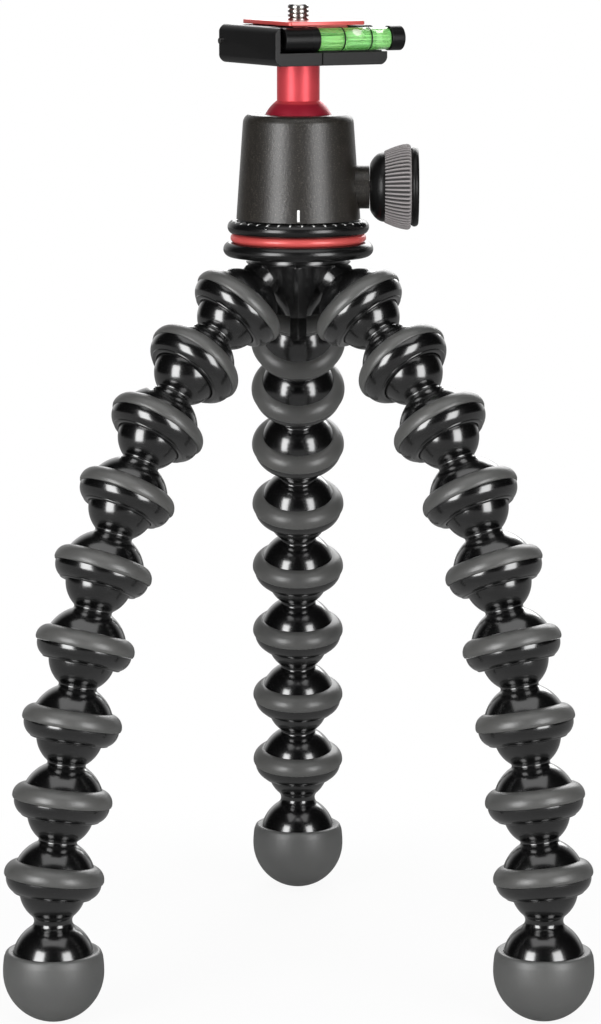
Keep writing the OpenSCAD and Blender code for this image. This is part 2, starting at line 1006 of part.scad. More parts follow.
module vial_cap() {
  color(jet)
    at_clamp()
      along_x(vial_y, vial_z)
        difference() {
          translate([0, 0, vial_right - 4.4])
            cylinder(r = vial_r + 0.12, h = 4.4);
          translate([0, 0, vial_right - 5])
            cylinder(r = tube_r, h = 2);
          translate([0, 0, vial_right - 0.6])
            cylinder(r = 2.7, h = 2);
        }
}

// Small fluted knob behind the right end, turning on the clamp screw.
module clamp_knob() {
  step = 360 / 20;
  color(jet)
    at_clamp()
      along_x(clamp_depth / 2 - 6, -7.7)
        difference() {
          translate([0, 0, clamp_right + 0.4])
            linear_extrude(height = 7)
              polygon([for (k = [0:19], s = [0:3])
                let (a = (k + [0, 0.3, 0.5, 0.8][s]) * step, r = 5.2 - (s < 2 ? 0 : 0.5))
                [r * cos(a), r * sin(a)]]);
          translate([0, 0, clamp_right])
            cylinder(r = 1.9, h = 5);
        }
}

module clamp_screw() {
  color(steel)
    at_clamp()
      along_x(clamp_depth / 2 - 6, -7.7)
        translate([0, 0, -12])
          cylinder(r = 1.9, h = clamp_right + 12 + 5);
}

// Red plate with a dovetail foot and the recess for the screw's head.
module quick_plate() {
  front = -clamp_depth / 2 + 2.5;
  color(red)
    at_clamp()
      difference() {
        union() {
          translate([0, 0, -plate_t])
            linear_extrude(height = plate_t)
              soft_rect(plate_off - plate_w / 2, front, plate_off + plate_w / 2,
                        front + plate_d, 1.6);
          along_y(vial_y + 4.2, front + plate_d)
            polygon([[plate_off - tail_top / 2, -plate_t + eps],
                     [plate_off - tail_top / 2, clamp_top],
                     [plate_off - tail_foot / 2, -plate_t - tail_h],
                     [plate_off + tail_foot / 2, -plate_t - tail_h],
                     [plate_off + tail_top / 2, clamp_top],
                     [plate_off + tail_top / 2, -plate_t + eps]]);
        }
        translate([0, 0, -10])
          cylinder(r = screw_r + 0.2, h = 20);
        translate([0, 0, -10])
          cylinder(r = 6.1, h = 10 - 1.8);
      }
}

// Camera screw with rings for its thread and a coin slot under its head.
module camera_screw() {
  color(steel)
    difference() {
      union() {
        translate([0, 0, -4.5])
          cylinder(r = 5.8, h = 2.5);
        translate([0, 0, -2.5])
          cylinder(r = screw_r - 0.5, h = 3);
        cylinder(r = screw_r, h = screw_len - 0.5);
        translate([0, 0, screw_len - 0.5 - eps])
          cylinder(r1 = screw_r, r2 = screw_r - 0.5, h = 0.5 + eps);
      }
      for (k = [0:2])
        translate([0, 0, 0.35 + k * screw_pitch])
          rotate_extrude()
            polygon([[screw_r + 0.2, 0], [screw_r - 0.6, 0.45], [screw_r + 0.2, 0.9]]);
      translate([-7, -0.7, -6])
        cube([14, 1.4, 2.5]);
    }
}

crown();
crown_collars();
crown_grip_rings();
crown_bolt();
base_flange();
accent_ring();
scale_ring();
slip_washer();
pan_clip();
ball_housing();
housing_plug();
ball_cup();
knob_bush();
knob_core();
knob_grip();
knob_cap();
lock_screw();
lock_wedge();
head_ball();
clamp_body();
clamp_bolt();
guide_pins();
clamp_jaw();
vial_holder();
vial_tube();
vial_fluid();
vial_bubble();
vial_rings();
vial_cap();
clamp_knob();
clamp_screw();
quick_plate();
camera_screw();
leg_link(0, 1);  // left_link_1
leg_link(0, 2);  // left_link_2
leg_link(0, 3);  // left_link_3
leg_link(0, 4);  // left_link_4
leg_link(0, 5);  // left_link_5
leg_link(0, 6);  // left_link_6
leg_link(0, 7);  // left_link_7
leg_link(0, 8);  // left_link_8
foot(0);  // left_foot
leg_link(1, 1);  // right_link_1
leg_link(1, 2);  // right_link_2
leg_link(1, 3);  // right_link_3
leg_link(1, 4);  // right_link_4
leg_link(1, 5);  // right_link_5
leg_link(1, 6);  // right_link_6
leg_link(1, 7);  // right_link_7
leg_link(1, 8);  // right_link_8
foot(1);  // right_foot
leg_link(2, 1);  // rear_link_1
leg_link(2, 2);  // rear_link_2
leg_link(2, 3);  // rear_link_3
leg_link(2, 4);  // rear_link_4
leg_link(2, 5);  // rear_link_5
leg_link(2, 6);  // rear_link_6
leg_link(2, 7);  // rear_link_7
leg_link(2, 8);  // rear_link_8
foot(2);  // rear_foot
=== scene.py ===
import bmesh
import bpy
import json
import math
import numpy as np
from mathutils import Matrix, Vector

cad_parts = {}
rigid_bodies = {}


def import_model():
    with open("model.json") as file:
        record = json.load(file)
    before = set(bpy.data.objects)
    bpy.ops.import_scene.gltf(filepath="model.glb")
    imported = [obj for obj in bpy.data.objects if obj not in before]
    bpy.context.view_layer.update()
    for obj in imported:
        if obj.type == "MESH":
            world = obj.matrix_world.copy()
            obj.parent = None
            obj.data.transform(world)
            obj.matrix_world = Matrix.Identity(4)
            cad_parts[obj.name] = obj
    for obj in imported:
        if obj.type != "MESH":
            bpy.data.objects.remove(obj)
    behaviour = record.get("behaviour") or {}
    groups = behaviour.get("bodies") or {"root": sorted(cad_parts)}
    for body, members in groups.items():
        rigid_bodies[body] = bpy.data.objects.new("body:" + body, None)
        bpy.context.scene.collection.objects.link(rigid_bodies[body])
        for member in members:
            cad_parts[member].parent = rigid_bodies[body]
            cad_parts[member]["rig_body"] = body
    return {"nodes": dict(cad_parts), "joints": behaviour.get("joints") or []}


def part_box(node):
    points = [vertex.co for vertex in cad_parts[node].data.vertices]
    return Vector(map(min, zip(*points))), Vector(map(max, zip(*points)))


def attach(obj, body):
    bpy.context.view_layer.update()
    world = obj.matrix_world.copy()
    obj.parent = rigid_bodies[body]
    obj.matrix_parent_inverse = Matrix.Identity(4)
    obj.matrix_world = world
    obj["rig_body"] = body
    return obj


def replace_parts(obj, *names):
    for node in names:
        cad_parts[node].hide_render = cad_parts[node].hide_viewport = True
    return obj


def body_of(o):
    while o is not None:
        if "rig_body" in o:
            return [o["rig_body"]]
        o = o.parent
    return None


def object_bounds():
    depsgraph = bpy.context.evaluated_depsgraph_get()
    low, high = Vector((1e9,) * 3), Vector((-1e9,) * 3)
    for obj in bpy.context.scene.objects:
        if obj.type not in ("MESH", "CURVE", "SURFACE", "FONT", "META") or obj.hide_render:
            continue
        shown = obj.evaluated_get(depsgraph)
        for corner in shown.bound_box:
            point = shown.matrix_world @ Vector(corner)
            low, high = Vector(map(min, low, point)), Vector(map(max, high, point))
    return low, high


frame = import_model()
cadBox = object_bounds()
scene = bpy.context.scene
nodes = frame["nodes"]
jointAt = {j["name"]: np.array(j["pos_m"], float) for j in frame["joints"] if "pos_m" in j}
mm = 0.001
poleR = 1e-9  # a radius under this is a pole of a turned piece
print("frame loaded:", len(nodes), "nodes")


# Meshes from arrays

# crease is the angle in degrees past which an edge stays sharp, mask a value for each point
def addPiece(name, points, faces, body, material, crease=40, mask=None):
    mesh = bpy.data.meshes.new(name)
    mesh.from_pydata(np.asarray(points, float).tolist(), [], faces)
    mesh.update()
    mesh.shade_smooth()
    mesh.set_sharp_from_angle(angle=math.radians(crease))
    mesh.materials.append(material)
    if mask is not None:
        layer = mesh.attributes.new("mask", "FLOAT", "POINT")
        layer.data.foreach_set("value", np.asarray(mask, np.float32))
    piece = bpy.data.objects.new(name, mesh)
    scene.collection.objects.link(piece)
    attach(piece, body)
    return piece


def arc(centreR, centreZ, radius, start, end, count):  # points on a circle, angles in degrees
    a = np.radians(np.linspace(start, end, count))
    return np.stack([centreR + radius * np.cos(a), centreZ + radius * np.sin(a)], 1)


# profile of radius and height carried round the axis, from pole to pole or closed on itself
def turned(profile, turns):
    a = np.arange(turns) * 2 * math.pi / turns
    poles = profile[0, 0] < poleR and profile[-1, 0] < poleR
    rows = profile[1:-1] if poles else profile
    r, z = rows[:, :1], np.repeat(rows[:, 1:], turns, 1)
    points = np.stack([r * np.cos(a), r * np.sin(a), z], 2).reshape(-1, 3)
    n = len(rows)
    i = np.arange(n - 1 if poles else n)[:, None]
    j = np.arange(turns)[None]
    k, m = (i + 1) % n, (j + 1) % turns
    quads = np.stack([i * turns + j, k * turns + j, k * turns + m, i * turns + m], 2)
    quads = quads.reshape(-1, 4).tolist()
    if poles:
        j, m = np.arange(turns), (np.arange(turns) + 1) % turns
        top, low = len(points), len(points) + 1
        points = np.concatenate([points, [[0, 0, profile[0, 1]], [0, 0, profile[-1, 1]]]])
        last = (n - 1) * turns
        quads += np.stack([np.full(turns, top), j, m], 1).tolist()
        quads += np.stack([np.full(turns, low), last + m, last + j], 1).tolist()
    return points, quads


sideHint = [0.37, 0.93, 0.0]  # level direction that no link points along


def placed(points, origin, down):  # turns points drawn hanging along -Z so that they hang along down
    up = -np.asarray(down, float)
    side = np.cross(up, sideHint)
    side /= np.linalg.norm(side)
    turn = np.stack([side, np.cross(up, side), up], 1)
    return points @ turn.T + origin


# Shared effects as node groups

def newGroup(name, inputs, outputs):
    group = bpy.data.node_groups.new(name, "ShaderNodeTree")
    for label, kind, value in inputs:
        socket = group.interface.new_socket(name=label, in_out="INPUT", socket_type=kind)
        socket.default_value = value
    for label, kind in outputs:
        group.interface.new_socket(name=label, in_out="OUTPUT", socket_type=kind)
    return group, group.nodes.new("NodeGroupInput"), group.nodes.new("NodeGroupOutput")


def addNode(tree, kind, values=None, **settings):
    node = tree.nodes.new(kind)
    for key, value in settings.items():
        setattr(node, key, value)
    for key, value in (values or {}).items():
        node.inputs[key].default_value = value
    return node


def makeWander():  # slow drift of a value about its middle: value + amount * (noise - 0.5)
    inputs = [("Value", "NodeSocketFloat", 0.5), ("Amount", "NodeSocketFloat", 0.1), ("Scale", "NodeSocketFloat", 60.0)]
    group, given, out = newGroup("slowWander", inputs, [("Value", "NodeSocketFloat")])
    place = addNode(group, "ShaderNodeTexCoord")
    noise = addNode(group, "ShaderNodeTexNoise", {"Detail": 4.0, "Roughness": 0.6})
    shift = addNode(group, "ShaderNodeMath", {1: 0.5}, operation="SUBTRACT")
    grow = addNode(group, "ShaderNodeMath", operation="MULTIPLY_ADD")
    link = group.links.new
    link(place.outputs["Object"], noise.inputs["Vector"])
    link(given.outputs["Scale"], noise.inputs["Scale"])
    link(noise.outputs["Fac"], shift.inputs[0])
    link(shift.outputs[0], grow.inputs[0])
    link(given.outputs["Amount"], grow.inputs[1])
    link(given.outputs["Value"], grow.inputs[2])
    link(grow.outputs[0], out.inputs["Value"])
    return group


def makeTint():  # mixes a colour towards a second one by slow noise
    inputs = [("Color", "NodeSocketColor", (0.5, 0.5, 0.5, 1)), ("Other", "NodeSocketColor", (0.6, 0.6, 0.6, 1)),
              ("Scale", "NodeSocketFloat", 40.0)]
    group, given, out = newGroup("tintDrift", inputs, [("Color", "NodeSocketColor")])
    place = addNode(group, "ShaderNodeTexCoord")
    noise = addNode(group, "ShaderNodeTexNoise", {"Detail": 5.0, "Roughness": 0.55})
    ramp = addNode(group, "ShaderNodeMapRange", {"From Min": 0.3, "From Max": 0.7})
    mix = addNode(group, "ShaderNodeMix", data_type="RGBA")
    link = group.links.new
    link(place.outputs["Object"], noise.inputs["Vector"])
    link(given.outputs["Scale"], noise.inputs["Scale"])
    link(noise.outputs["Fac"], ramp.inputs["Value"])
    link(ramp.outputs["Result"], mix.inputs["Factor"])
    link(given.outputs["Color"], mix.inputs["A"])
    link(given.outputs["Other"], mix.inputs["B"])
    link(mix.outputs["Result"], out.inputs["Color"])
    return group


grainMix = dict(finer=3.1, fineShare=0.5, speckFrom=0.58, speckTo=0.75)


def makeGrain():  # fine grain: height is a coarse noise plus half of one about three times finer
    group, given, out = newGroup("fineGrain", [("Scale", "NodeSocketFloat", 900.0)],
                                 [("Height", "NodeSocketFloat"), ("Speck", "NodeSocketFloat")])
    place = addNode(group, "ShaderNodeTexCoord")
    coarse = addNode(group, "ShaderNodeTexNoise", {"Detail": 2.0, "Roughness": 0.6})
    finer = addNode(group, "ShaderNodeMath", {1: grainMix["finer"]}, operation="MULTIPLY")
    fine = addNode(group, "ShaderNodeTexNoise", {"Detail": 1.0})
    total = addNode(group, "ShaderNodeMath", {1: grainMix["fineShare"]}, operation="MULTIPLY_ADD")
    speck = addNode(group, "ShaderNodeMapRange", {"From Min": grainMix["speckFrom"], "From Max": grainMix["speckTo"]})
    link = group.links.new
    link(place.outputs["Object"], coarse.inputs["Vector"])
    link(place.outputs["Object"], fine.inputs["Vector"])
    link(given.outputs["Scale"], coarse.inputs["Scale"])
    link(given.outputs["Scale"], finer.inputs[0])
    link(finer.outputs[0], fine.inputs["Scale"])
    link(fine.outputs["Fac"], total.inputs[0])
    link(coarse.outputs["Fac"], total.inputs[2])
    link(total.outputs[0], out.inputs["Height"])
    link(fine.outputs["Fac"], speck.inputs["Value"])
    link(speck.outputs["Result"], out.inputs["Speck"])
    return group


wanderGroup = makeWander()
tintGroup = makeTint()
grainGroup = makeGrain()


def useGroup(tree, group, values):
    node = tree.nodes.new("ShaderNodeGroup")
    node.node_tree = group
    for key, value in values.items():
        node.inputs[key].default_value = value
    return node


def rgba(color):
    return (*color, 1.0)


def mixOver(tree, base, factor, color):  # a second colour over the base where the factor says so
    mix = addNode(tree, "ShaderNodeMix", {"B": rgba(color)}, data_type="RGBA")
    tree.links.new(factor, mix.inputs["Factor"])
    tree.links.new(base, mix.inputs["A"])
    return mix.outputs["Result"]


def underHeight(tree, high, low):  # 1 under the height low, 0 over high, smooth between them
    place = addNode(tree, "ShaderNodeTexCoord")
    axes = addNode(tree, "ShaderNodeSeparateXYZ")
    ramp = addNode(tree, "ShaderNodeMapRange", {"From Min": high, "From Max": low}, interpolation_type="SMOOTHSTEP")
    tree.links.new(place.outputs["Object"], axes.inputs[0])
    tree.links.new(axes.outputs["Z"], ramp.inputs["Value"])
    return ramp.outputs["Result"]


plainLook = dict(tintScale=45.0, roughDrift=0.12, roughScale=70.0, grain=0.05, grainScale=1200.0, grainDepth=0.0001)


def makeFinish(name, given):  # one material: drifting colour, wandering gloss, fine grain, optional second colour
    look = {**plainLook, **given}
    material = bpy.data.materials.new(name)
    material.use_nodes = True
    tree = material.node_tree
    link = tree.links.new
    shader = tree.nodes["Principled BSDF"]
    tint = useGroup(tree, tintGroup, {"Color": rgba(look["color"]), "Other": rgba(look["other"]),
                                      "Scale": look["tintScale"]})
    gloss = useGroup(tree, wanderGroup, {"Value": look["rough"], "Amount": look["roughDrift"],
                                         "Scale": look["roughScale"]})
    grain = useGroup(tree, grainGroup, {"Scale": look["grainScale"]})
    bump = addNode(tree, "ShaderNodeBump", {"Strength": look["grain"], "Distance": look["grainDepth"]})
    if "edge" in look:  # light catches the edges as if they were rounded this far
        rounded = addNode(tree, "ShaderNodeBevel", {"Radius": look["edge"]}, samples=4)
        link(rounded.outputs["Normal"], bump.inputs["Normal"])
    link(grain.outputs["Height"], bump.inputs["Height"])
    link(bump.outputs["Normal"], shader.inputs["Normal"])
    link(gloss.outputs["Value"], shader.inputs["Roughness"])
    color = tint.outputs["Color"]
    if "below" in look:  # painted shade: a darker second colour under a height
        color = mixOver(tree, color, underHeight(tree, look["below"][1], look["below"][0]), look["lower"])
    elif "maskShade" in look:  # painted shade: a darker second colour where the piece's own mask says so
        where = addNode(tree, "ShaderNodeAttribute", attribute_name="mask")
        color = mixOver(tree, color, where.outputs["Fac"], look["maskShade"])
    elif "speck" in look:
        color = mixOver(tree, color, grain.outputs["Speck"], look["speck"])
    link(color, shader.inputs["Base Color"])
    for socket, value in look.get("shader", {}).items():
        shader.inputs[socket].default_value = value
    if look.get("letsLight"):  # the lamps shine through to what lies behind
        path = addNode(tree, "ShaderNodeLightPath")
        through = addNode(tree, "ShaderNodeBsdfTransparent")
        either = addNode(tree, "ShaderNodeMixShader")
        link(path.outputs["Is Shadow Ray"], either.inputs[0])
        link(shader.outputs[0], either.inputs[1])
        link(through.outputs[0], either.inputs[2])
        link(either.outputs[0], tree.nodes["Material Output"].inputs["Surface"])
    return material


finishes = {
    "glossBlack": dict(color=(0.0015, 0.0015, 0.0017), other=(0.003, 0.003, 0.003), rough=0.2, roughDrift=0.05,
                       grain=0.015, grainScale=500, shader={"Specular IOR Level": 1.0, "Coat Weight": 1.0,
                                                            "Coat Roughness": 0.16, "Coat IOR": 1.6}),
    "crownBlack": dict(color=(0.003, 0.003, 0.0033), other=(0.005, 0.005, 0.005), rough=0.25, roughDrift=0.06,
                       edge=0.5 * mm, grain=0.03, grainScale=900, shader={"Specular IOR Level": 1.0, "Coat Weight": 0.5,
                                                           "Coat Roughness": 0.2, "Coat IOR": 1.6}),
    "gripRubber": dict(color=(0.072, 0.073, 0.071), other=(0.092, 0.092, 0.088), rough=0.37, roughDrift=0.1,
                       grain=0.14, grainScale=2400, speck=(0.12, 0.12, 0.114), shader={"Specular IOR Level": 1.0}),
    "bootRubber": dict(color=(0.078, 0.08, 0.079), other=(0.096, 0.097, 0.094), rough=0.43, roughDrift=0.1,
                       grain=0.16, grainScale=2400, speck=(0.13, 0.131, 0.125), shader={"Specular IOR Level": 0.9}),
    "ringBlack": dict(color=(0.003, 0.003, 0.0033), other=(0.005, 0.005, 0.005), rough=0.25, roughDrift=0.08,
                      grain=0.04, grainScale=1800, shader={"Specular IOR Level": 0.8}),
    "satinBlack": dict(color=(0.003, 0.003, 0.0033), other=(0.005, 0.005, 0.005), rough=0.33, roughDrift=0.1,
                       edge=0.4 * mm, grain=0.05, grainScale=2200, shader={"Specular IOR Level": 0.35}),
    # painted shade: under the stem the ball is given a darker crimson
    "redAnodised": dict(color=(0.77, 0.078, 0.096), other=(0.67, 0.058, 0.074), rough=0.41, roughDrift=0.1, grain=0.05,
                        grainScale=3000, below=(-25.4 * mm, -24.8 * mm), lower=(0.44, 0.018, 0.042),
                        shader={"Metallic": 0.4}),
    "redBright": dict(color=(0.76, 0.11, 0.1), other=(0.68, 0.085, 0.08), rough=0.34, roughDrift=0.1,
                      grain=0.05, grainScale=3000, shader={"Metallic": 0.2, "Specular IOR Level": 0.9}),
    "powderCoat": dict(color=(0.013, 0.0112, 0.0092), other=(0.018, 0.0155, 0.0128), rough=0.36, roughDrift=0.08,
                       grain=0.5, grainScale=1100, speck=(0.1, 0.088, 0.074), shader={"Specular IOR Level": 0.75}),
    # painted shade: the grooves between the ribs are darkened
    "knobRubber": dict(color=(0.26, 0.242, 0.244), other=(0.295, 0.275, 0.275), rough=0.6, roughDrift=0.1, grain=0.15,
                       grainScale=2600, maskShade=(0.03, 0.028, 0.028), shader={"Specular IOR Level": 0.4}),
    "brightSteel": dict(color=(0.62, 0.61, 0.59), other=(0.52, 0.51, 0.5), rough=0.25, roughDrift=0.15,
                        grain=0.06, grainScale=1800, shader={"Metallic": 1.0}),
    "whiteNylon": dict(color=(0.72, 0.71, 0.66), other=(0.66, 0.65, 0.6), rough=0.5, grain=0.05),
    "plainBrass": dict(color=(0.6, 0.42, 0.17), other=(0.5, 0.34, 0.13), rough=0.3, grain=0.05,
                       shader={"Metallic": 1.0}),
    "whitePaint": dict(color=(0.85, 0.85, 0.84), other=(0.78, 0.78, 0.77), rough=0.5, grain=0.1, grainScale=3000),
    "clearTube": dict(color=(0.93, 0.98, 0.9), other=(0.9, 0.97, 0.86), rough=0.06, roughDrift=0.03, grain=0.01,
                      letsLight=True, shader={"Transmission Weight": 1.0, "IOR": 1.45}),
    "greenFluid": dict(color=(0.5, 0.85, 0.36), other=(0.2, 0.68, 0.28), rough=0.08, roughDrift=0.03, grain=0.01,
                       tintScale=70.0, shader={"Transmission Weight": 0.1, "IOR": 1.34, "Emission Strength": 0.22,
                                               "Emission Color": (0.35, 0.8, 0.25, 1)}),  # painted light: a faint glow keeps the fluid bright; the real dye fluoresces a little
    "paleBubble": dict(color=(0.93, 0.98, 0.86), other=(0.84, 0.95, 0.74), rough=0.08, roughDrift=0.03, grain=0.01,
                       shader={"Transmission Weight": 0.1, "IOR": 1.2}),
}
finish = {name: makeFinish(name, look) for name, look in finishes.items()}
print("finishes made:", len(finish))

coats = {  # CAD node to finish
    "crownBlack": ["crown"],
    "ringBlack": ["base_flange", "scale_ring"],
    "satinBlack": ["clamp_body", "clamp_jaw", "knob_core", "knob_cap", "clamp_knob",
                   "vial_holder", "vial_cap", "vial_rings"],
    "redAnodised": ["head_ball"],
    "redBright": ["accent_ring", "quick_plate"],
    "powderCoat": ["ball_housing"],
    "knobRubber": ["knob_grip"],
    "brightSteel": ["crown_bolt", "pan_clip", "housing_plug", "lock_screw", "clamp_bolt", "guide_pins", "clamp_screw",
                    "camera_screw"],
    "whiteNylon": ["slip_washer", "ball_cup"],
    "plainBrass": ["knob_bush", "lock_wedge"],
    "clearTube": ["vial_tube"],
    "greenFluid": ["vial_fluid"],
    "paleBubble": ["vial_bubble"],
}
for look, names in coats.items():
    for name in names:
        mesh = nodes[name].data
        mesh.materials.clear()
        mesh.materials.append(finish[look])
print("nodes coated")


# Edges

softEdges = {"clamp_body": 0.55 * mm, "clamp_jaw": 0.55 * mm, "quick_plate": 0.25 * mm, "crown": 0.35 * mm,
             "vial_cap": 0.3 * mm}
edgeWork = dict(merge=1e-6, flat=math.radians(0.5), sharp=math.radians(35), segments=3)


def softCopy(name, width):  # copy of a CAD node, merged and with its edges rounded
    mesh = nodes[name].data.copy()
    mesh.name = f"{name}_soft"
    work = bmesh.new()
    work.from_mesh(mesh)
    bmesh.ops.remove_doubles(work, verts=work.verts, dist=edgeWork["merge"])
    bmesh.ops.dissolve_limit(work, angle_limit=edgeWork["flat"], verts=work.verts, edges=work.edges)
    work.to_mesh(mesh)
    work.free()
    mesh.shade_smooth()
    mesh.set_sharp_from_angle(angle=edgeWork["sharp"])
    piece = bpy.data.objects.new(f"{name}_soft", mesh)
    scene.collection.objects.link(piece)
    bevel = piece.modifiers.new("softEdges", "BEVEL")
    bevel.width, bevel.segments, bevel.limit_method = width, edgeWork["segments"], "ANGLE"
    bevel.angle_limit = edgeWork["sharp"]
    bevel.harden_normals = True
    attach(piece, body_of(nodes[name])[0])
    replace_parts(piece, name)
    return piece


for name, width in softEdges.items():
    softCopy(name, width)
print("edges rounded")


# Lock knob

knobShape = dict(bellX=21.85 * mm, bellR=6.9 * mm, bandX=26.2 * mm, bandR=10.9 * mm, farX=34.2 * mm, farR=13.1 * mm,
                 coreR=9.6 * mm, endRound=1.3 * mm, ribs=60, ribTurns=12, ribDepth=0.6 * mm, turns=96,
                 bellUnder=0.25 * mm, bellLip=0.5 * mm, bandLip=0.12 * mm, bandStart=0.3 * mm, bandStep=0.15 * mm,
                 endShare=0.75, ribSteep=0.95, ribFade=0.8 * mm)


def bellProfile():  # round shoulder from the boss out to the ribbed band
    k = knobShape
    t = np.linspace(0, 1, 18)
    # quarter wave: steep at the boss, level at the band
    r = k["bellR"] + (k["bandR"] - k["bellUnder"] - k["bellR"]) * np.sin(t * math.pi / 2)
    x = k["bellX"] + (k["bandX"] - k["bellX"]) * t ** 1.3
    shoulder = np.stack([r, x], 1)
    return np.concatenate([[[0, k["bellX"]], [k["bellR"] - k["bellLip"], k["bellX"]]], shoulder,
                           [[k["coreR"], k["bandX"]], [k["coreR"], k["farX"]], [0, k["farX"]]]])


def ribbedBand():  # ribs round a band that widens outwards and turns in at its far end
    k = knobShape
    span = k["farX"] - k["bandX"]
    x = np.concatenate([[0.0, k["bandLip"]], np.linspace(k["bandStart"], span - k["endRound"], 12),
                        span - k["endRound"] * (1 - np.sin(np.linspace(0.2, 1.0, 8) * math.pi / 2))])
    r = k["bandR"] + (k["farR"] - k["bandR"]) * np.sin(np.clip(x / span, 0, 1) * math.pi / 2)
    past = np.clip(x - (span - k["endRound"]), 0, None)
    r = r - k["endShare"] * (k["endRound"] - np.sqrt(np.clip(k["endRound"] ** 2 - past ** 2, 0, None)))
    r[0] -= k["bandStep"]
    count = k["ribs"] * k["ribTurns"]
    a = np.arange(count) * 2 * math.pi / count
    # a steep cosine clipped flat, so that ribs and grooves have level tops and floors
    groove = np.clip(0.5 - k["ribSteep"] * np.cos(a * k["ribs"]), 0, 1) * k["ribDepth"]
    fade = np.clip((span - x) / k["ribFade"], 0, 1)
    outer = r[:, None] - groove[None] * fade[:, None]
    radius = np.concatenate([outer, np.full((2, len(a)), k["coreR"])])
    along = np.concatenate([k["bandX"] + x, [k["farX"], k["bandX"]]])
    n, m = radius.shape
    points = np.stack([np.repeat(along[:, None], m, 1), radius * np.cos(a), radius * np.sin(a)], 2)
    i, j = np.arange(n)[:, None], np.arange(m)[None]
    nextI, nextJ = (i + 1) % n, (j + 1) % m
    quads = np.stack([i * m + j, i * m + nextJ, nextI * m + nextJ, nextI * m + j], 2)
    # painted shade: the mask is the groove depth, which darkens the grooves
    grooveShade = np.concatenate([(groove / k["ribDepth"])[None] * fade[:, None], np.zeros((2, m))]).ravel()
    return points.reshape(-1, 3), quads.reshape(-1, 4)[:, ::-1].tolist(), grooveShade


def addKnob():
    centre = np.array([0, 0, jointAt["lock_knob_turn"][2]])
    body = body_of(nodes["knob_core"])[0]
    points, faces = turned(bellProfile()[::-1], knobShape["turns"])
    points = points[:, [2, 1, 0]] * [1, 1, -1] + centre
    bell = addPiece("knob_bell", points, faces, body, finish["satinBlack"])
    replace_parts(bell, "knob_core")
    points, faces, grooveShade = ribbedBand()
    ribs = addPiece("knob_ribs", points + centre, faces, body, finish["knobRubber"],
                    crease=60, mask=grooveShade)
    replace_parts(ribs, "knob_grip")


addKnob()
print("knob made")


# Level

bubbleShape = dict(turn=math.radians(28), along=10.5 * mm, out=-16.4 * mm, up=-4.4 * mm, half=3 * mm,
                   radius=1.65 * mm, turns=40)


def addBubble():  # long drop of air against the upper front of the tube
    b = bubbleShape
    t = np.radians(np.linspace(90, -90, 25))
    profile = np.stack([b["radius"] * np.cos(t), b["half"] * np.sin(t)], 1)
    profile[[0, -1], 0] = 0
    local, faces = turned(profile, b["turns"])
    c, d = math.cos(b["turn"]), math.sin(b["turn"])
    tube, side, up = np.array([c, d, 0]), np.array([-d, c, 0]), np.array([0, 0, 1.0])
    points = local @ np.stack([side, up, tube]) + b["along"] * tube + b["out"] * side + b["up"] * up
    body = body_of(nodes["vial_bubble"])[0]
    bubble = addPiece("level_bubble", points, faces, body, finish["paleBubble"])
    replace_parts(bubble, "vial_bubble")


addBubble()
print("level filled")


# Legs

linkShape = dict(ballR=10 * mm, domeR=12.5 * mm, domeUp=3 * mm, hollow=0.8 * mm, cupR=10.15 * mm, seatR=10.9 * mm,
                 ringLow=2.8 * mm, ringHigh=8 * mm, ringR=15 * mm, ringRound=4 * mm, ringEdge=0.5 * mm,
                 ringTuck=0.2 * mm, ringSoft=0.3 * mm, lipDrop=2 * mm, collarR=14.3 * mm, collarRound=5 * mm,
                 collarLip=0.45 * mm, play=0.04 * mm, turns=96)
footShape = dict(pitch=25 * mm, hollow=2.5 * mm, bootR=15.1 * mm, bootRim=6.4 * mm, bootLip=1.1 * mm,
                 rimTuck=0.25 * mm, bootFlat=0.45 * mm, coreCut=0.5 * mm)
crownTilt = math.radians(44)


def studProfile(drop, hollow):  # ball, then a hollow that touches the ball and the dome drop below it
    ballR, domeR = linkShape["ballR"], linkShape["domeR"]
    # the hollow's circle lies its own radius outside both spheres
    z = ((ballR + hollow) ** 2 - (domeR + hollow) ** 2 + drop ** 2) / (2 * drop)
    x = math.sqrt((ballR + hollow) ** 2 - z ** 2)
    high = -math.degrees(math.atan2(z, x))
    low = math.degrees(math.atan2(drop - z, x))
    return np.concatenate([
        arc(0, 0, ballR, 90, high, 40),
        arc(x, -z, hollow, 180 + high, 180 + low, 14)[1:],
    ]), low


def linkProfile(pitch):  # ball, neck, dome, ring seat and the socket inside
    s = linkShape
    stud, low = studProfile(pitch - s["domeUp"], s["hollow"])
    rim = math.degrees(math.asin((s["ringHigh"] - s["domeUp"]) / s["domeR"]))
    cup = math.degrees(math.asin(s["ringLow"] / s["cupR"]))
    body = np.concatenate([
        arc(0, s["domeUp"], s["domeR"], low, rim, 20)[1:],
        [[s["seatR"], s["ringHigh"]], [s["seatR"], s["ringLow"]]],
        arc(0, 0, s["cupR"], cup, 90, 24),
    ])
    return np.concatenate([stud, body - [0, pitch]])


def collarProfile():  # bowl with a soft lip, hollow inside that follows the ball
    s = linkShape
    reach, lip = s["collarR"] - s["collarRound"], s["collarLip"]
    top = s["ringLow"] - s["play"]
    floorZ = -s["lipDrop"] + lip
    out = math.degrees(math.asin((floorZ - s["ringLow"]) / s["collarRound"]))
    outR = reach + s["collarRound"] * math.cos(math.radians(out))
    inR = math.sqrt(s["cupR"] ** 2 - floorZ ** 2)
    a = np.radians(np.linspace(0, -180, 12))[1:-1]
    edge = np.stack([(outR + inR) / 2 + (outR - inR) / 2 * np.cos(a), floorZ + lip * np.sin(a)], 1)
    cupLow, cupHigh = (math.degrees(math.asin(z / s["cupR"])) for z in (floorZ, top))
    return np.concatenate([
        arc(reach, s["ringLow"], s["collarRound"], -0.5, out, 20),
        edge,
        arc(0, 0, s["cupR"], cupLow, cupHigh, 8),
    ])


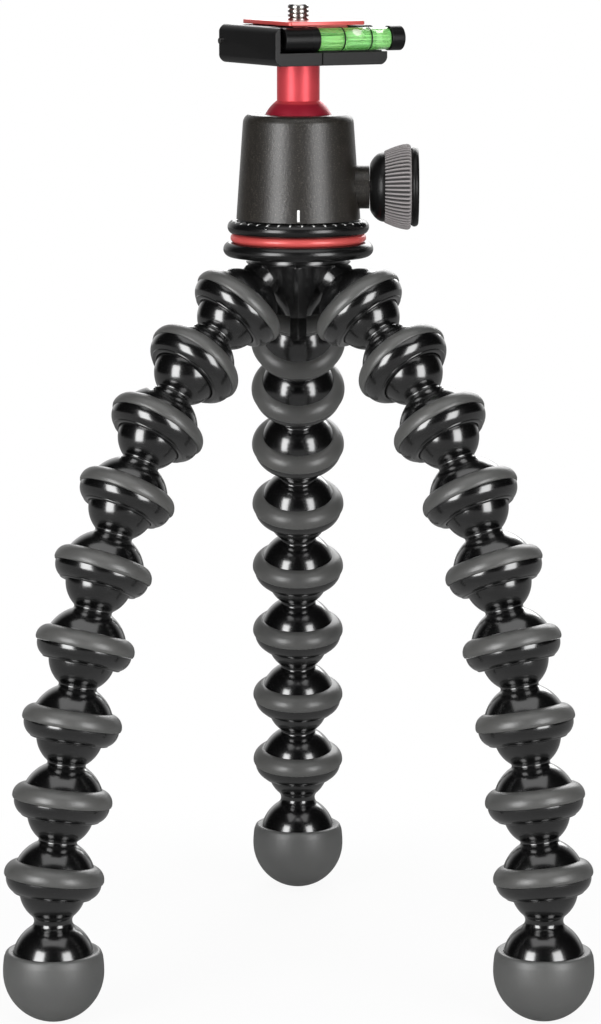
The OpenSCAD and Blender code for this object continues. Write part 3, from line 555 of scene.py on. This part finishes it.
def ringProfile():  # rubber ring, round from its top to its widest, with a short edge under that
    s = linkShape
    low, high = s["ringLow"] + s["play"], s["ringHigh"] - s["play"]
    inner, soft, edge = s["seatR"] + s["play"], s["ringSoft"], s["ringEdge"]
    middle, bend = s["ringHigh"] - s["ringRound"], s["ringRound"] - s["play"]
    return np.concatenate([
        arc(s["ringR"] - s["ringRound"], middle, bend, 84, -6, 26),
        arc(s["ringR"] - s["ringTuck"] - edge, low + edge, edge, -10, -90, 7),
        arc(inner + soft, low + soft, soft, 270, 180, 5),
        arc(inner + soft, high - soft, soft, 180, 90, 5),
    ])


def bootProfile():  # rubber bowl, steep above its middle, with a rounded rim and a small flat under it
    f, up = footShape, linkShape["domeUp"]
    core, soft = linkShape["domeR"] + linkShape["play"], f["bootLip"]
    rimR = math.sqrt(4 * f["bootR"] ** 2 - f["bootRim"] ** 2) - f["bootR"] - soft
    wall = math.degrees(math.asin((f["bootRim"] - soft) / (2 * f["bootR"])))
    flat = math.degrees(math.asin((f["bootFlat"] - f["bootR"]) / f["bootR"]))
    low = up - linkShape["domeR"] + f["coreCut"] - linkShape["play"]
    coreLow = math.degrees(math.asin((low - up) / core))
    inside = math.degrees(math.asin((f["bootRim"] - f["rimTuck"] - up) / core))
    return np.concatenate([
        [[0, low]],
        arc(0, up, core, coreLow, inside, 24),
        arc(rimR, f["bootRim"] - soft, soft, 100, wall + 4, 10),
        arc(-f["bootR"], 0, 2 * f["bootR"], wall, 0, 8)[1:],
        arc(0, 0, f["bootR"], 0, flat, 36)[1:],
        [[0, f["bootFlat"] - f["bootR"]]],
    ])


def footProfile():
    f, s = footShape, linkShape
    stud, low = studProfile(f["pitch"] - s["domeUp"], f["hollow"])
    floorA = math.degrees(math.asin((f["coreCut"] - s["domeR"]) / s["domeR"]))
    floorZ = s["domeUp"] - s["domeR"] + f["coreCut"]
    body = np.concatenate([arc(0, s["domeUp"], s["domeR"], low, floorA, 40)[1:], [[0, floorZ]]])
    return np.concatenate([stud, body - [0, f["pitch"]]])


def addTurned(name, profile, origin, down, body, look):
    points, faces = turned(profile, linkShape["turns"])
    return addPiece(name, placed(points, origin, down), faces, body, finish[look])


collar, ring, boot = collarProfile(), ringProfile(), bootProfile()


def addSocket(name, origin, down, body, node):  # collar and rubber ring round a ball's middle
    piece = addTurned(f"{name}_collar", collar, origin, down, body, "glossBlack")
    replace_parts(piece, node)
    piece = addTurned(f"{name}_ring", ring, origin, down, body, "gripRubber")
    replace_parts(piece, "crown_grip_rings" if node == "crown_collars" else node)


def addLeg(leg):
    centres = [jointAt[f"{leg}_joint_{i}"] for i in range(1, 10)]
    outward = centres[0] * [1, 1, 0]
    outward /= np.linalg.norm(outward)
    down = math.sin(crownTilt) * outward - math.cos(crownTilt) * np.array([0, 0, 1])
    addSocket(f"{leg}_crown", centres[0], down, "base", "crown_collars")
    for i, (start, end) in enumerate(zip(centres, centres[1:]), 1):
        body = f"{leg}_link_{i}"
        pitch = np.linalg.norm(end - start)
        down = (end - start) / pitch
        moulding = addTurned(f"{body}_moulding", linkProfile(pitch), start, down, body, "glossBlack")
        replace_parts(moulding, body)
        addSocket(body, end, down, body, body)
    body = f"{leg}_foot"
    down = np.array([0, 0, -1.0])
    middle = centres[8] + down * footShape["pitch"]
    moulding = addTurned(f"{body}_moulding", footProfile(), centres[8], down, body, "glossBlack")
    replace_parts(moulding, body)
    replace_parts(addTurned(f"{body}_boot", boot, middle, down, body, "bootRubber"), body)


for leg in ("left", "right", "rear"):
    addLeg(leg)
print("legs built")


# Paint in the scale's cuts and the index cut

tickShape = dict(count=36, first=63, inner=19.1 * mm, short=20.8 * mm, long=21.45 * mm, half=0.28 * mm,
                 ringR=21.6 * mm, ringHeight=4.1 * mm, crest=0.1 * mm, proud=0.02 * mm, depth=0.33 * mm, stations=5)
indexShape = dict(half=0.38 * mm, low=0.42 * mm, high=3.98 * mm, footR=18.9 * mm, topR=16.7 * mm, tall=31.6 * mm,
                  under=0.02 * mm, back=18.32 * mm)


def addTicks():  # 36 small bars of paint that fill the cuts and run out over the ring's rounded edge
    t = tickShape
    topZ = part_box("scale_ring")[1].z
    a = np.radians(t["first"] + np.arange(t["count"]) * 360 / t["count"])
    end = np.where(np.arange(t["count"]) % (t["count"] // 4) == 0, t["long"], t["short"])
    share = np.linspace(0, 1, t["stations"])
    r = t["inner"] + share[None] * (end[:, None] - t["inner"])
    bend = t["ringHeight"] / 2 + t["crest"]
    past = np.clip(r - (t["ringR"] - bend), 0, None)
    # the ring's outer circle stands its crest over the flat top, which cuts it
    high = topZ + np.minimum(0, t["crest"] - bend + np.sqrt(bend ** 2 - past ** 2)) + t["proud"]
    low = high - t["depth"]
    er = np.stack([np.cos(a), np.sin(a), 0 * a], 1)[:, None]
    et = np.stack([-np.sin(a), np.cos(a), 0 * a], 1)[:, None]
    up = np.array([0, 0, 1.0])
    corners = ((-1, high), (1, high), (1, low), (-1, low))
    rows = [r[..., None] * er + s * t["half"] * et + z[..., None] * up for s, z in corners]
    points = np.stack(rows, 2).reshape(-1, 3)  # tick, station, corner
    here = np.arange(4)
    beside = (here + 1) % 4
    base = np.arange(t["stations"] - 1)[:, None] * 4
    walls = np.stack([base + here, base + 4 + here, base + 4 + beside, base + beside], 2).reshape(-1, 4)
    size = 4 * t["stations"]  # points in one tick
    one = np.concatenate([walls, [here, size - 1 - here]])
    faces = (one[None] + np.arange(t["count"])[:, None, None] * size).reshape(-1, 4).tolist()
    return addPiece("scale_ticks", points, faces, "base", finish["whitePaint"])


def addIndex():  # white bar in the housing's index cut, its front following the housing's taper
    n = indexShape
    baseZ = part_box("ball_housing")[0].z
    lift = np.array([n["low"], n["high"]])
    front = -(n["footR"] - lift / n["tall"] * (n["footR"] - n["topR"])) + n["under"]
    x = np.array([-1, 1, 1, -1]) * n["half"]
    y = np.stack([front, front, np.full(2, -n["back"]), np.full(2, -n["back"])], 1)
    z = np.repeat((baseZ + lift)[:, None], 4, 1)
    points = np.stack([np.stack([x, x]), y, z], 2).reshape(-1, 3)
    faces = [(3, 2, 1, 0), (4, 5, 6, 7), (0, 1, 5, 4), (1, 2, 6, 5), (2, 3, 7, 6), (3, 0, 4, 7)]
    return addPiece("index_mark", points, faces, "housing", finish["whitePaint"])


addTicks()
addIndex()
print("ticks painted")


# Camera, floor and light

# focal and long are in pixels of the picture, pitch and yaw in degrees
viewFit = dict(focal=3828.4, distance=1166.1 * mm, height=40 * mm, pitch=9.289, side=-1.98 * mm, yaw=0.13, long=1024)


def addCamera():
    v = viewFit
    data = bpy.data.cameras.new("photoView")
    data.lens = v["focal"] / v["long"] * data.sensor_width
    data.clip_start = 0.01
    camera = bpy.data.objects.new("photoView", data)
    scene.collection.objects.link(camera)
    camera.location = (v["side"], -v["distance"], v["height"])
    camera.rotation_euler = (math.radians(90 - v["pitch"]), 0, math.radians(-v["yaw"]))
    scene.camera = camera


studio = dict(floorSize=6.0, floorGrey=0.85, floorShade=0.93, floorNear=0.1, floorFar=0.22, floorGlossy=0.22,
              worldLight=0.3, worldGlossy=0.005, backGlossy=0.7, backFrom=0.55, backTo=0.97)
white = (1, 1, 1, 1)


def backgroundMask(tree):  # 1 for rays that show the background: camera, glossy and transmission
    path = addNode(tree, "ShaderNodeLightPath")
    first = addNode(tree, "ShaderNodeMath", operation="MAXIMUM")
    both = addNode(tree, "ShaderNodeMath", operation="MAXIMUM")
    tree.links.new(path.outputs["Is Camera Ray"], first.inputs[0])
    tree.links.new(path.outputs["Is Glossy Ray"], first.inputs[1])
    tree.links.new(first.outputs[0], both.inputs[0])
    tree.links.new(path.outputs["Is Transmission Ray"], both.inputs[1])
    return path, both.outputs[0]


def addFloor():
    half = studio["floorSize"] / 2
    z = cadBox[0][2]
    mesh = bpy.data.meshes.new("floor")
    mesh.from_pydata([(-half, -half, z), (half, -half, z), (half, half, z), (-half, half, z)], [], [(0, 1, 2, 3)])
    floor = bpy.data.objects.new("floor", mesh)
    scene.collection.objects.link(floor)
    material = bpy.data.materials.new("paleFloor")
    material.use_nodes = True
    tree = material.node_tree
    tree.nodes.clear()
    out = addNode(tree, "ShaderNodeOutputMaterial")
    plain = addNode(tree, "ShaderNodeBsdfDiffuse", {"Color": rgba([studio["floorGrey"]] * 3)})
    glow = addNode(tree, "ShaderNodeEmission", {"Color": white})
    share = addNode(tree, "ShaderNodeMath", operation="MULTIPLY")
    mix = addNode(tree, "ShaderNodeMixShader")
    path, mask = backgroundMask(tree)
    # pure white away from the object for the camera, a little under white in reflections
    place = addNode(tree, "ShaderNodeTexCoord")
    reach = addNode(tree, "ShaderNodeVectorMath", {1: (1, 1, 0)}, operation="MULTIPLY")
    far = addNode(tree, "ShaderNodeVectorMath", operation="LENGTH")
    fade = addNode(tree, "ShaderNodeMapRange", {"From Min": studio["floorNear"], "From Max": studio["floorFar"],
                                                "To Min": studio["floorShade"], "To Max": 1.0},
                   interpolation_type="SMOOTHSTEP")
    level = addNode(tree, "ShaderNodeMapRange", {"To Min": studio["floorGlossy"], "To Max": 1.0})
    link = tree.links.new
    link(place.outputs["Object"], reach.inputs[0])
    link(reach.outputs[0], far.inputs[0])
    link(far.outputs["Value"], fade.inputs["Value"])
    link(fade.outputs["Result"], share.inputs[1])
    link(path.outputs["Is Camera Ray"], level.inputs["Value"])
    link(level.outputs["Result"], glow.inputs["Strength"])
    link(mask, share.inputs[0])
    link(share.outputs[0], mix.inputs[0])
    link(plain.outputs[0], mix.inputs[1])
    link(glow.outputs[0], mix.inputs[2])
    link(mix.outputs[0], out.inputs["Surface"])
    mesh.materials.append(material)


def addWorld():  # white to the camera, a soft grey light to the object, white backdrop behind it in reflections
    world = bpy.data.worlds.new("studioWorld")
    scene.world = world
    world.use_nodes = True
    tree = world.node_tree
    tree.nodes.clear()
    out = addNode(tree, "ShaderNodeOutputWorld")
    light = addNode(tree, "ShaderNodeBackground", {"Color": white, "Strength": studio["worldLight"]})
    seen = addNode(tree, "ShaderNodeBackground", {"Color": white})
    place = addNode(tree, "ShaderNodeTexCoord")
    split = addNode(tree, "ShaderNodeSeparateXYZ")
    back = addNode(tree, "ShaderNodeMapRange", {"From Min": studio["backFrom"], "From Max": studio["backTo"],
                                                "To Min": studio["worldGlossy"], "To Max": studio["backGlossy"]},
                   interpolation_type="SMOOTHSTEP")
    path, mask = backgroundMask(tree)
    whiter = addNode(tree, "ShaderNodeMath", operation="MAXIMUM")
    mix = addNode(tree, "ShaderNodeMixShader")
    link = tree.links.new
    link(place.outputs["Generated"], split.inputs[0])
    link(split.outputs["Y"], back.inputs["Value"])
    link(back.outputs["Result"], whiter.inputs[0])
    link(path.outputs["Is Camera Ray"], whiter.inputs[1])
    link(whiter.outputs[0], seen.inputs["Strength"])
    link(mask, mix.inputs[0])
    link(light.outputs[0], mix.inputs[1])
    link(seen.outputs[0], mix.inputs[2])
    link(mix.outputs[0], out.inputs["Surface"])


lamps = dict(
    leftBox=dict(place=(-0.72, -0.86, -0.05), aim=(0, 0, -0.16), size=(0.52, 0.98), watts=10.5),
    rightBox=dict(place=(0.72, -0.86, -0.05), aim=(0, 0, -0.16), size=(0.52, 0.98), watts=8.5),
    topBox=dict(place=(0, -0.3, 0.8), aim=(0, 0, -0.1), size=(1.2, 0.8), watts=2.6),
    backBox=dict(place=(0.2, 1.05, 0.4), aim=(0, 0, -0.14), size=(0.8, 0.7), watts=6.0),
)


def addLamps():
    for name, l in lamps.items():
        data = bpy.data.lights.new(name, "AREA")
        data.shape = "RECTANGLE"
        data.size, data.size_y = l["size"]
        data.energy = l["watts"]
        lamp = bpy.data.objects.new(name, data)
        scene.collection.objects.link(lamp)
        lamp.location = l["place"]
        toAim = Vector(l["aim"]) - Vector(l["place"])
        lamp.rotation_euler = toAim.to_track_quat("-Z", "Y").to_euler()


addCamera()
addFloor()
addWorld()
addLamps()
scene.view_settings.view_transform = "Standard"
print("camera, floor and light set")
